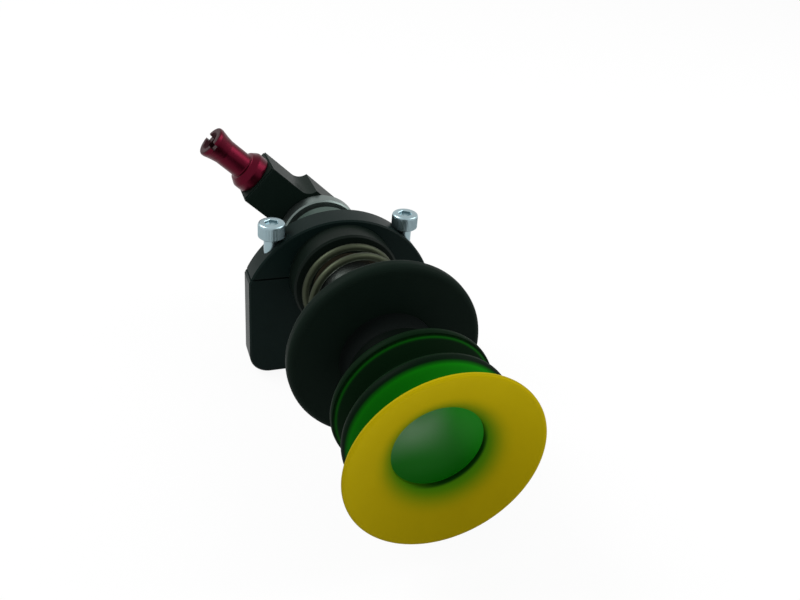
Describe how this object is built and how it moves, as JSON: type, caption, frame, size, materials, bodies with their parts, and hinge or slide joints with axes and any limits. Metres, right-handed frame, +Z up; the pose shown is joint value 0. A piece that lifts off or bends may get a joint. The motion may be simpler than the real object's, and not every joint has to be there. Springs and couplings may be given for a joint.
{
  "type": "spring-suspended bellows suction cup gripper",
  "caption": "Vacuum suction cup with a dual-hardness bellows on a spring-suspended hollow stem, guided in a split clamp plate, with an elbow and hose nipple at the rear.",
  "frame": {"origin": "middle of the clamp's flat base", "axes": "X across the clamp, +Y along the gripper's axis from the suction cup to the elbow, +Z up from the clamp's base to its cap"},
  "size_m": [0.0702, 0.143, 0.0728],
  "materials": {
    "lip": "satin, slightly translucent yellow polyurethane",
    "bellows": "glossy translucent green polyurethane",
    "black_anodised": "fine satin black anodising",
    "disc_black": "satin black",
    "clamp_black": "satin black anodising",
    "stem_steel": "ground steel",
    "spring_steel": "yellow-passivated spring wire",
    "zinc": "bright zinc plate",
    "collar_steel": "turned steel",
    "black_steel": "black oxide",
    "liner": "plain bearing polymer",
    "seal_rubber": "matt black",
    "nipple_red": "glossy red anodising"
  },
  "bodies": {
    "mount": {"clamp_base": "clamp_black", "clamp_cap": "clamp_black", "screw_left": "zinc", "screw_right": "zinc", "sleeve_flange": "black_anodised", "guide_sleeve": "black_anodised", "front_liner": "liner", "rear_liner": "liner", "spring": "spring_steel"},
    "follower": {"front_washer": "zinc"},
    "plunger": {"cup_hub": "black_anodised", "hub_seal": "seal_rubber", "backing_disc": "disc_black", "stem": "stem_steel", "buffer_ring": "seal_rubber", "stop_collar": "collar_steel", "collar_screw": "black_steel", "elbow_body": "black_anodised", "elbow_seal": "seal_rubber", "nipple": "nipple_red", "nipple_seal": "seal_rubber", "bellows": "bellows"},
    "cup_lip": {"lip": "lip"}
  },
  "joints": [
    {"name": "suspension", "type": "slide", "parent": "mount", "child": "follower", "axis": [0, 1, 0], "range_m": [0, 0.018], "stiffness_N_per_m": 600, "springref_m": -0.006, "deforming": ["spring"]},
    {"name": "swivel", "type": "hinge", "parent": "follower", "child": "plunger", "pos_m": [0, -0.0123, 0.0364], "axis": [0, 1, 0], "range_deg": [-75, 75]},
    {"name": "bellows_stroke", "type": "slide", "parent": "plunger", "child": "cup_lip", "axis": [0, 1, 0], "range_m": [0, 0.009], "stiffness_N_per_m": 700, "deforming": ["bellows"]}
  ]
}
